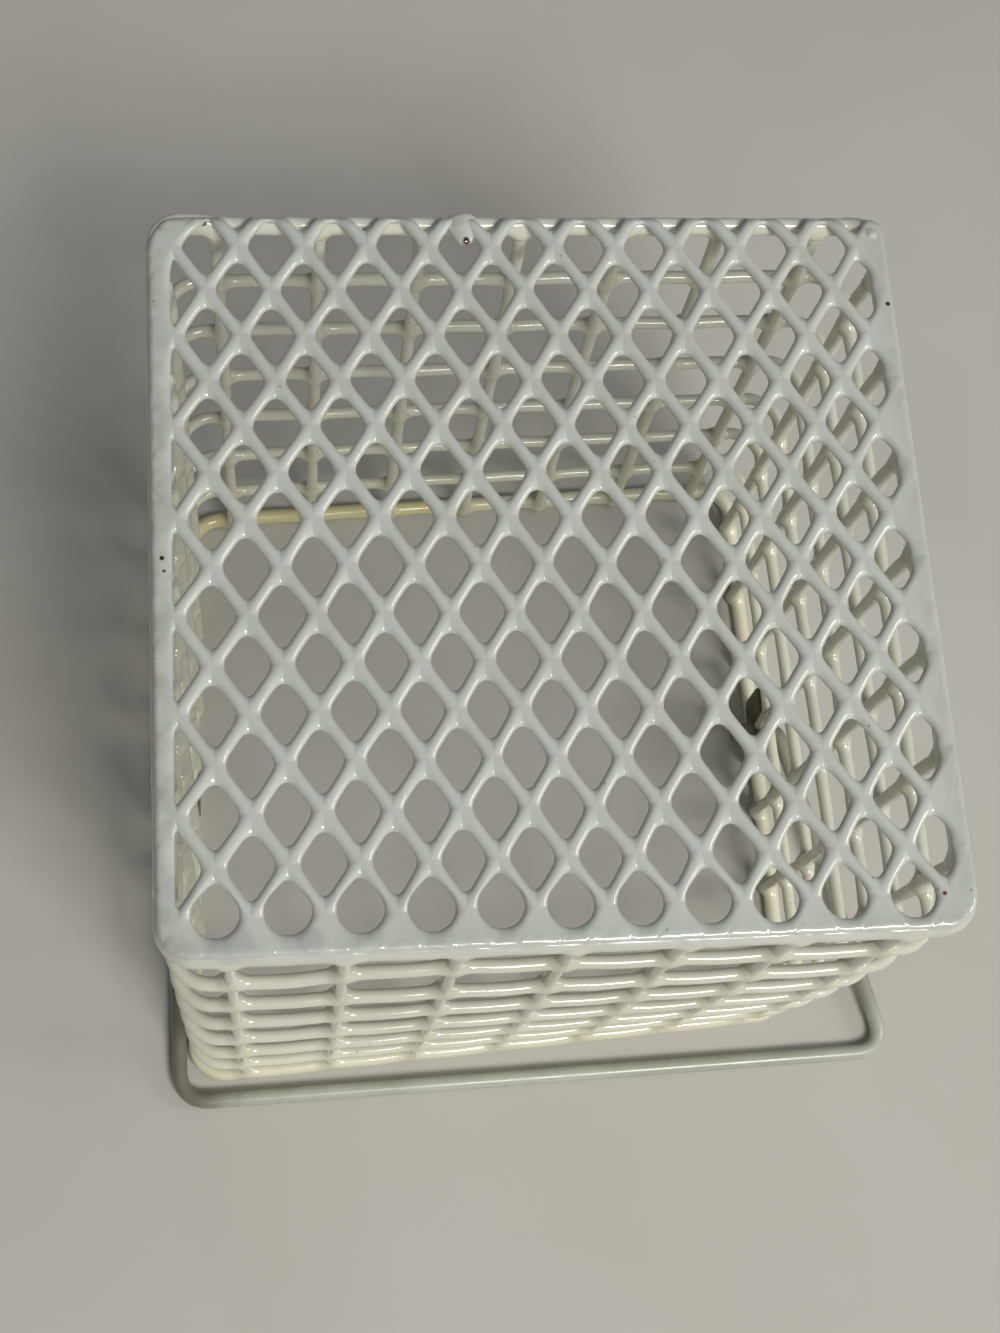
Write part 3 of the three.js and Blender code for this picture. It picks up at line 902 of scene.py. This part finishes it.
def panel_height(x, y):
    """Height of the sheet's middle: rounded over at the edges, bent down over the border at the back."""
    spot = np.stack([x, y, np.zeros_like(x)], axis=-1)
    edge = from_edge(x, y)
    over = 1.0 - np.clip(edge / EDGE_ROUNDING, 0.0, 1.0)
    rounded_over = EDGE_ROUNDING * (1.0 - np.sqrt(1.0 - over ** 2))
    drop_start = BORDER_Y - BACK_DROP_START
    drop = np.clip((y - drop_start) / (BACK_END - BORDER_Y + BACK_DROP_START), 0.0, 1.0)
    near_edge = 1.0 - smooth_step(0.0, EDGE_WAVE_WIDTH, edge)
    sheet_waves = SHEET_WAVES * waves(SHEET_WAVE_SCALE * spot)
    edge_waves = EDGE_WAVES * near_edge * waves(EDGE_WAVE_SCALE * spot)
    uneven = sheet_waves + edge_waves
    return PANEL_MIDDLE - rounded_over - BACK_DROP * drop ** 2 + uneven


def teardrop(centre, top):
    """Corners of an opening in the front row, round at the front and drawn to a point at the back."""
    centre = centre + np.array([0.0, TEARDROP_SHIFT - TEARDROP_SLANT * centre[0]])
    turn = math.acos(TEARDROP_RADIUS / (top - centre[1]))
    angles = np.linspace(0.5 * math.pi + turn, 2.5 * math.pi - turn, 25)
    arc = centre + TEARDROP_RADIUS * np.stack([np.cos(angles), np.sin(angles)], axis=1)
    tip = np.array([[centre[0], top, TEARDROP_TOP_ROUNDING]])
    return np.vstack([tip, np.column_stack([arc, np.zeros(len(arc))])])


def add_cell(panel, step, row):
    """One cell of the net, cut off at the panel's outline, with its opening if there is room for one."""
    around = [(step + 1, row), (step, row + 1), (step - 1, row), (step, row - 1)]
    corners = np.array([lattice(*crossing) for crossing in around])
    centre = corners.mean(axis=0)
    cell = clipped(np.column_stack([corners, np.zeros(4)]), OUTLINE, 0.0)
    if cell is None or area_of(cell) < SMALLEST_CELL:
        return
    half_width = STRAND_HALF_WIDTH * (1.0 + STRAND_UNEVEN * math.sin(3.1 * step + 1.3 * row))
    shrink = 1.0 - half_width * math.hypot(CELL_X, CELL_Y) / (CELL_X * CELL_Y)
    points = centre + shrink * (corners - centre)
    if row == FRONT_ROW:
        opening = teardrop(centre, points[1, 1])
    else:
        roundings = [SIDE_ROUNDING, TOP_ROUNDING, SIDE_ROUNDING, BOTTOM_ROUNDING]
        opening = np.column_stack([points, roundings])
    at_back = centre[1] >= INSIDE_DEPTH / 2 - BACK_ROWS_DEPTH
    opening = clipped(opening, WINDOW, 0.0 if at_back else BAND_ROUNDING)
    outer = edge_samples(cell)
    if opening is None or area_of(opening) < SMALLEST_OPENING:
        add_closed_cell(panel, outer)
        return
    inner_line = rounded(opening)
    middle = inner_line.mean(axis=0)
    away = outer - middle
    distance = np.linalg.norm(away, axis=1)
    reach = np.minimum(reach_along(inner_line, middle, unit(away)), distance)
    inner = middle + unit(away) * reach[:, None]
    add_open_cell(panel, outer, inner)


FILL_SHARES = (0.0, 0.05, 0.12, 0.24, 0.45, 0.75, 1.0)


def add_closed_cell(panel, outer):
    """A cell filled with coating."""
    centre = outer.mean(axis=0)
    for side in (1, -1):
        rings = []
        for share in FILL_SHARES:
            spots = outer + share * (centre - outer)
            heights = panel_height(spots[:, 0], spots[:, 1]) + side * STRAND_HALF_HEIGHT
            rings.append(panel.ring(spots, heights, 0.0))
        for first, second in zip(rings, rings[1:]):
            for i in range(len(outer)):
                j = (i + 1) % len(outer)
                quad = (first[i], first[j], second[j], second[i])
                panel.face(*(quad if side > 0 else quad[::-1]))


STRAND_BENDS = np.radians([90, 87, 83, 78, 70, 60, 48, 36, 24, 12, 0, -15, -35, -60, -90])


def add_open_cell(panel, outer, inner):
    """The strands round one opening, from the top of the ridge over its edge to the underside."""
    count = len(outer)
    width = np.linalg.norm(outer - inner, axis=1)
    rings = []
    for turn in STRAND_BENDS:
        inward = math.cos(turn) ** (2.0 / STRAND_POWER)
        rise = math.copysign(abs(math.sin(turn)) ** (2.0 / STRAND_POWER), turn)
        spots = outer + inward * (inner - outer)
        heights = panel_height(spots[:, 0], spots[:, 1]) + STRAND_HALF_HEIGHT * rise
        # Painted shade: darker down the strand's sides and on its underside.
        crevice = STRAND_SHADE * (1.0 - math.sin(turn))
        rings.append(panel.ring(spots, heights, crevice))
    for first, second in zip(rings, rings[1:]):
        for i in range(count):
            j = (i + 1) % count
            if max(width[i], width[j]) > THINNEST_STRAND:
                panel.face(first[i], first[j], second[j], second[i])


def make_panel():
    panel = PanelMesh()
    rows = math.ceil(BORDER_Y / CELL_Y) + 1
    steps = math.ceil(BORDER_X / CELL_X) + 2
    for row in range(-rows, rows + 1):
        for step in range(-steps, steps + 1):
            if (step + row) % 2 == 1:
                add_cell(panel, step, row)
    add_piece("base_panel_coated", np.array(panel.vertices), panel.faces, panel_coat, "basket",
              np.array(panel.crevice), "base_panel")


make_panel()


def make_lump(name, path, radii, flatness, coat):
    """A run of coating that has set, as a soft flattened body along a short path."""
    path = np.array(path)
    share = np.linspace(0.0, 1.0, LUMP_STEPS)
    knots = np.linspace(0.0, 1.0, len(path))
    line = np.stack([np.interp(share, knots, path[:, i]) for i in range(3)], axis=1)
    ends = np.clip(1.0 - (2.0 * share - 1.0) ** LUMP_BLUNTNESS, 0.001, 1.0)
    thickness = np.interp(share, knots, radii) * np.sqrt(ends)
    tangent = unit(np.gradient(line, axis=0))
    across = unit(np.cross(tangent, [0.0, 0.0, 1.0]))
    directions = spokes(across, flatness * np.cross(across, tangent), WIRE_SIDES)
    vertices = line[:, None, :] + thickness[:, None, None] * directions
    uneven = LUMP_UNEVEN * COAT_WAVES * waves(LUMP_WAVE_SCALE * vertices)
    vertices = vertices + uneven[..., None] * directions
    add_piece(name, vertices, tube_faces(len(line), WIRE_SIDES, False), coat, "basket")


BACK_RUN = [(-13.0, 75.5, 143.2), (-12.9, 74.6, 144.4), (-12.6, 72.6, 145.0), (-12.3, 70.6, 145.2),
            (-12.0, 68.6, 145.2)]
CORNER_RUN = [(73.2, 68.4, 144.9), (72.9, 70.6, 145.4), (71.2, 72.6, 145.2)]
make_lump("back_edge_run", BACK_RUN, [2.8, 3.3, 2.7, 2.0, 1.5], 0.6, border_coat)
make_lump("corner_run", CORNER_RUN, [1.0, 1.6, 1.2], 1.0, border_coat)


# Pivot plates

def make_pivot_plate(node):
    """A small plate with soft edges and a hole, darkened round the hole with painted shade."""
    low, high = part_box(node)
    middle = (np.array(low) + np.array(high)) / 2
    middle = (middle - CAGE_MIDDLE) / MM
    half_y = (high[1] - low[1]) / 2 / MM
    half_z = (high[2] - low[2]) / 2 / MM + PIVOT_PLATE_COAT
    outline = rounded_window(half_y, -half_z, half_z, [PIVOT_PLATE_CORNER] * 4)
    angles = -np.linspace(0.0, 2 * math.pi, PIVOT_PLATE_RAYS, endpoint=False)
    rays = np.stack([np.cos(angles), np.sin(angles)], axis=1)
    outer = reach_along(outline, np.zeros(2), rays)
    half = PIVOT_PLATE_THICKNESS / 2
    rim_edge = [(1, 0.0, 0.0), (1, 0.08, 0.5), (1, 0.3, 0.85), (1, PIVOT_PLATE_SOFTNESS, 1.0)]
    face = [(0.6, 0.0, 1.0), (0.3, 0.0, 1.0)]
    hole_edge = [(0, -PIVOT_PLATE_SOFTNESS, 1.0), (0, -0.25, 0.85), (0, -0.06, 0.5), (0, 0.0, 0.0)]
    section = rim_edge + face + hole_edge
    section += [(share, inset, -rise) for share, inset, rise in section[-2:0:-1]]
    vertices = []
    for share, inset, rise in section:
        radius = PIVOT_HOLE_RADIUS + share * (outer - PIVOT_HOLE_RADIUS) - inset
        ring = np.zeros((len(angles), 3))
        ring[:, 0] = middle[0] + rise * half
        ring[:, 1] = middle[1] + radius * rays[:, 0]
        ring[:, 2] = middle[2] + radius * rays[:, 1]
        vertices.append(ring)
    vertices = np.stack(vertices)
    # Painted shade round the hole, darkest at its edge.
    from_hole = np.linalg.norm(vertices[..., 1:] - middle[1:], axis=-1) - PIVOT_HOLE_RADIUS
    crevice = np.exp(-from_hole / PIVOT_HOLE_SHADE_DEPTH)
    faces = tube_faces(len(section), len(angles), True)
    add_piece(f"{node}_coated", vertices, faces, plate_coat, "basket", crevice, node)


for plate in ("left_pivot_plate", "right_pivot_plate"):
    make_pivot_plate(plate)


# Bail: a bent wire in a plane through the pivot line

def bend(before, at, after, size, steps=12):
    """A rounded corner between two straight runs."""
    enter = at + size * unit(before - at)
    leave = at + size * unit(after - at)
    t = np.linspace(0.0, 1.0, steps)[:, None]
    return (1 - t) ** 2 * enter + 2 * t * (1 - t) * at + t ** 2 * leave


def make_bail():
    """The bail in its resting place, with a head on each end, painted shade on its arms and heads, and
    painted shade with grime near its pivots.
    """
    joint = frame["record"]["behaviour"]["joints"][0]
    pivot = (np.array(joint["pos_m"]) - CAGE_MIDDLE) / MM
    axis = unit(np.array(joint["axis"]))
    reach = INSIDE_DEPTH / 2 + 2 * RIM_RADIUS + BAIL_OVERHANG
    right_reach = reach + BAIL_SKEW
    lean = reach * axis[1] / axis[0]
    arm = INSIDE_WIDTH / 2 + 2 * RIM_RADIUS + BAIL_SIDE_CLEARANCE + BAIL_RADIUS
    head = INSIDE_WIDTH / 2 - BAIL_END_PLAY
    shoulder = arm - INSIDE_WIDTH / 2 - PIVOT_PLATE_THICKNESS - WELD_GAP
    drop = math.asin((pivot[2] - BAIL_RADIUS) / right_reach)
    level = np.array([axis[1], -axis[0], 0.0])
    outward = math.cos(drop) * level - np.array([0.0, 0.0, math.sin(drop)])
    corners = np.array([[-head, 0.0], [-arm, 0.0], [-arm - lean, reach],
                        [arm + BAIL_RIGHT_SPREAD - lean, right_reach], [arm, 0.0], [head, 0.0]])
    sizes = [shoulder, BAIL_CORNER_SIZE, BAIL_CORNER_SIZE, shoulder]
    half_head = BAIL_HEAD_THICKNESS / 2
    outer_places = [-half_head, -half_head + 0.1, -half_head + 0.5]
    head_places = np.array([*outer_places, 0.0, half_head, half_head + 0.35])
    head_radii = np.array([0.1, 0.55, 0.9, 1.0, 0.97, 0.0]) * BAIL_HEAD_RADIUS
    head_radii[-1] = BAIL_RADIUS + 0.1
    head_count = len(head_places)
    flat = [np.stack([-head + head_places, np.zeros(head_count)], axis=1)]
    for i, size in enumerate(sizes, start=1):
        bent = bend(corners[i - 1], corners[i], corners[i + 1], size)
        gap = np.linalg.norm(bent[0] - flat[-1][-1])
        straight = np.linspace(flat[-1][-1], bent[0], max(3, int(gap / BAIL_STEP)))[1:-1]
        flat += [straight, bent]
    flat.append(np.stack([head - head_places[::-1], np.zeros(head_count)], axis=1))
    flat = np.concatenate(flat)
    radii = np.full(len(flat), BAIL_RADIUS)
    radii[:head_count] = head_radii
    radii[-head_count:] = head_radii[::-1]
    path = pivot + flat[:, :1] * axis + flat[:, 1:] * outward
    ahead = np.vstack([path[1:], path[-1:]])
    behind = np.vstack([path[:1], path[:-1]])
    tangent = unit(ahead - behind)
    normal = np.tile(np.cross(outward, axis), (len(path), 1))
    directions = spokes(np.cross(tangent, normal), normal, RING_SIDES)
    vertices = path[:, None, :] + radii[:, None, None] * directions
    vertices = vertices + (BAIL_UNEVEN * COAT_WAVES * waves(vertices))[..., None] * directions
    along, out = flat[:, 0], np.abs(flat[:, 1])
    # Painted shade with grime near the pivots.
    near_pivot = np.exp(-np.maximum(out - BAIL_PIVOT_SHADE_AND_DIRT_START, 0.0) / BAIL_PIVOT_SHADE_AND_DIRT_LENGTH)
    crevice = np.repeat(BAIL_PIVOT_SHADE_AND_DIRT * near_pivot[:, None], RING_SIDES, axis=1)
    # Painted shade: full on the left arm and at the heads, half on the right arm away from the crossbar.
    left_arm = smooth_step(*BAIL_LEFT_SHADE_RAMP, along + arm)
    off_crossbar = smooth_step(*BAIL_RIGHT_SHADE_RAMP, right_reach - flat[:, 1])
    right_arm = BAIL_RIGHT_SHADE * off_crossbar * (along > 0)
    pivots = smooth_step(*BAIL_PIVOT_SHADE_RAMP, out)
    painted_shade = np.repeat(np.maximum.reduce([left_arm, right_arm, pivots])[:, None], RING_SIDES, axis=1)
    faces = tube_faces(len(path), RING_SIDES, False)
    add_piece("bail_handle_coated", vertices, faces, bail_coat, "bail", crevice, "bail_handle", painted_shade)


make_bail()


# Floor, light and camera
FLOOR_REACH = 3.0
FLOOR_LIGHT = srgb(198, 197, 191)
FLOOR_DARK = srgb(193, 191, 184)
FLOOR_CLOUD_SCALE = 9
FLOOR_ROUGHNESS = 0.85
LIGHT_COLOUR = (1.0, 0.97, 0.92)
LIGHT_TARGET_HEIGHT = 0.07
KEY_DIRECTION = Vector((0.26, -0.575, 0.775)).normalized()
KEY_DISTANCE = 1.8
KEY_WIDTH = 0.62
KEY_HEIGHT = 0.5
KEY_POWER = 21.0
FILL_DIRECTION = (0.48, -0.52, 0.71)
FILL_COLOUR = (0.97, 0.99, 1.0, 1.0)
FILL_START = -0.5
FILL_DIM = 0.02
FILL_BRIGHT = 0.26
SIDE_DIRECTION = Vector((0.88, -0.145, 0.452)).normalized()
SIDE_DISTANCE = 1.2
SIDE_SIZE = 0.36
SIDE_POWER = 2.8
CAMERA_PLACE = np.array([-54.37, -142.25, 487.59])
CAMERA_FORWARD = Vector((0.118825, 0.328233, -0.937093))
CAMERA_UP = Vector((0.024932, 0.942496, 0.333286))
CAMERA_LENS = 52.46
CAMERA_SENSOR = 36.0
CAMERA_NEAR = 0.01


def make_floor():
    """A large plain floor at the height of the mouth."""
    mesh = bpy.data.meshes.new("floor")
    corners = [(x * FLOOR_REACH, y * FLOOR_REACH, 0) for x, y in ((-1, -1), (1, -1), (1, 1), (-1, 1))]
    mesh.from_pydata(corners, [], [(0, 1, 2, 3)])
    floor = bpy.data.objects.new("floor", mesh)
    bpy.context.collection.objects.link(floor)
    nodes = Nodes("floor")
    clouds = nodes.ramp(nodes.noise(FLOOR_CLOUD_SCALE, 3.0), 0.3, 0.7)
    colour = nodes.mix(clouds, FLOOR_LIGHT, FLOOR_DARK)
    nodes.put(nodes.shader, {"Base Color": colour, "Roughness": FLOOR_ROUGHNESS})
    mesh.materials.append(nodes.material)


def make_light(name, direction, distance, width, height, power):
    """A soft lamp that faces the basket."""
    light = bpy.data.lights.new(name, "AREA")
    light.shape = "RECTANGLE"
    light.size = width
    light.size_y = height
    light.energy = power
    light.color = LIGHT_COLOUR
    lamp = bpy.data.objects.new(name, light)
    bpy.context.collection.objects.link(lamp)
    target = Vector((*CAGE_MIDDLE[:2], LIGHT_TARGET_HEIGHT))
    lamp.location = target + direction * distance
    lamp.rotation_euler = direction.to_track_quat("Z", "Y").to_euler()


def make_fill():
    """A soft glow all round, brightest from above the front and dim from behind."""
    world = bpy.data.worlds.new("studio")
    bpy.context.scene.world = world
    world.use_nodes = True
    tree = world.node_tree
    direction = tree.nodes.new("ShaderNodeTexCoord").outputs["Generated"]
    towards = tree.nodes.new("ShaderNodeVectorMath")
    towards.operation = "DOT_PRODUCT"
    tree.links.new(direction, towards.inputs[0])
    towards.inputs[1].default_value = FILL_DIRECTION
    glow = tree.nodes.new("ShaderNodeMapRange")
    tree.links.new(towards.outputs["Value"], glow.inputs["Value"])
    glow.inputs["From Min"].default_value = FILL_START
    glow.inputs["To Min"].default_value = FILL_DIM
    glow.inputs["To Max"].default_value = FILL_BRIGHT
    background = tree.nodes["Background"]
    background.inputs["Color"].default_value = FILL_COLOUR
    tree.links.new(glow.outputs["Result"], background.inputs["Strength"])


def make_camera():
    data = bpy.data.cameras.new("camera")
    data.lens = CAMERA_LENS
    data.sensor_fit = "VERTICAL"
    data.sensor_height = CAMERA_SENSOR
    data.clip_start = CAMERA_NEAR
    camera = bpy.data.objects.new("camera", data)
    bpy.context.collection.objects.link(camera)
    right = CAMERA_FORWARD.cross(CAMERA_UP)
    turn = Matrix((right, CAMERA_UP, -CAMERA_FORWARD)).transposed().to_4x4()
    camera.matrix_world = Matrix.Translation(Vector(in_frame(CAMERA_PLACE))) @ turn
    bpy.context.scene.camera = camera


make_floor()
make_light("key", KEY_DIRECTION, KEY_DISTANCE, KEY_WIDTH, KEY_HEIGHT, KEY_POWER)
make_light("side", SIDE_DIRECTION, SIDE_DISTANCE, SIDE_SIZE, SIDE_SIZE, SIDE_POWER)
make_fill()
make_camera()
bpy.context.scene.view_settings.view_transform = "Standard"
